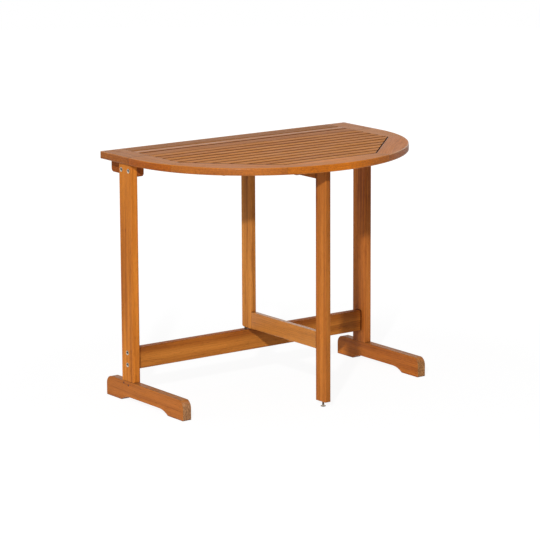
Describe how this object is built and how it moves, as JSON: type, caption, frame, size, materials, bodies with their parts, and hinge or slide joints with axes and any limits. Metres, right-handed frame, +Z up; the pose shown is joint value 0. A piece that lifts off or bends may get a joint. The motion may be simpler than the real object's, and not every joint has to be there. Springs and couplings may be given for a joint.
{
  "type": "folding balcony table",
  "caption": "Folding wooden balcony table with a half-round slatted top, two posts on sledge feet, a low stretcher and a swinging gate leg.",
  "frame": {"origin": "on the ground under the middle of the top's bounding box", "axes": "+Z up, +X along the straight edge of the top to the right as seen from the curved side, +Y from the curved edge towards the straight edge"},
  "size_m": [0.9, 0.6, 0.73],
  "materials": {
    "slat_wood": "oiled",
    "frame_wood": "oiled",
    "leg_wood": "oiled",
    "bearer_wood": "oiled",
    "gate_wood": "oiled",
    "peg_wood": "oiled",
    "steel": "zinc plated",
    "brass": "dull"
  },
  "bodies": {
    "table_frame": {"back_rail": "slat_wood", "fixed_slat_rear": "slat_wood", "fixed_slat_front": "slat_wood", "leaf_slat_01": "slat_wood", "leaf_slat_02": "slat_wood", "leaf_slat_03": "slat_wood", "leaf_slat_04": "slat_wood", "leaf_slat_05": "slat_wood", "leaf_slat_06": "slat_wood", "leaf_slat_07": "slat_wood", "leaf_slat_08": "slat_wood", "leaf_slat_09": "slat_wood", "leaf_slat_10": "slat_wood", "fixed_side_board_left": "frame_wood", "fixed_side_board_right": "frame_wood", "leaf_side_board_left": "frame_wood", "leaf_side_board_right": "frame_wood", "leaf_diagonal_board_left": "frame_wood", "leaf_diagonal_board_right": "frame_wood", "leaf_front_board": "frame_wood", "post_left": "leg_wood", "post_right": "leg_wood", "foot_left": "leg_wood", "foot_right": "leg_wood", "stretcher": "leg_wood", "fixed_cleat_left": "bearer_wood", "fixed_cleat_centre": "bearer_wood", "fixed_cleat_right": "bearer_wood", "leaf_cleat_left": "bearer_wood", "leaf_cleat_inner_left": "bearer_wood", "leaf_cleat_centre": "bearer_wood", "leaf_cleat_inner_right": "bearer_wood", "leaf_cleat_right": "bearer_wood", "bearer_left": "bearer_wood", "bearer_right": "bearer_wood", "gate_stop_block": "bearer_wood", "pivot_spacer": "steel", "hinge_pins": "steel", "hinge_screws": "steel", "cleat_screws": "steel", "bearer_screws": "steel", "bearer_bolts": "steel", "stretcher_bolts": "steel", "barrel_nuts": "steel", "hinge_plates_fixed": "brass", "hinge_plates_leaf": "brass", "tenon_pegs": "peg_wood"},
    "gate_leg": {"gate_inner_post": "gate_wood", "gate_outer_post": "gate_wood", "gate_top_rail": "gate_wood", "gate_bottom_rail": "gate_wood", "pivot_pin_lower": "steel", "pivot_pin_upper": "steel", "glide_insert": "brass"},
    "glide_pad": {"glide_pad": "steel"},
    "glide_screw": {"glide_screw": "steel"}
  },
  "joints": [
    {"name": "gate_swing", "type": "hinge", "parent": "table_frame", "child": "gate_leg", "pos_m": [-0.0195, 0.175, 0.159], "axis": [0, 0, 1], "range_deg": [0, 87.5]},
    {"name": "glide_height", "type": "slide", "parent": "gate_leg", "child": "glide_pad", "axis": [0, 0, 1], "range_m": [0, 0.009]},
    {"name": "glide_turn", "type": "hinge", "parent": "glide_pad", "child": "glide_screw", "pos_m": [-0.0195, -0.2115, 0.005], "axis": [0, 0, 1], "range_deg": [0, 3240]}
  ],
  "couplings": [
    {"joint": "glide_turn", "follows": "glide_height", "rad_per_m": 6283.2}
  ]
}
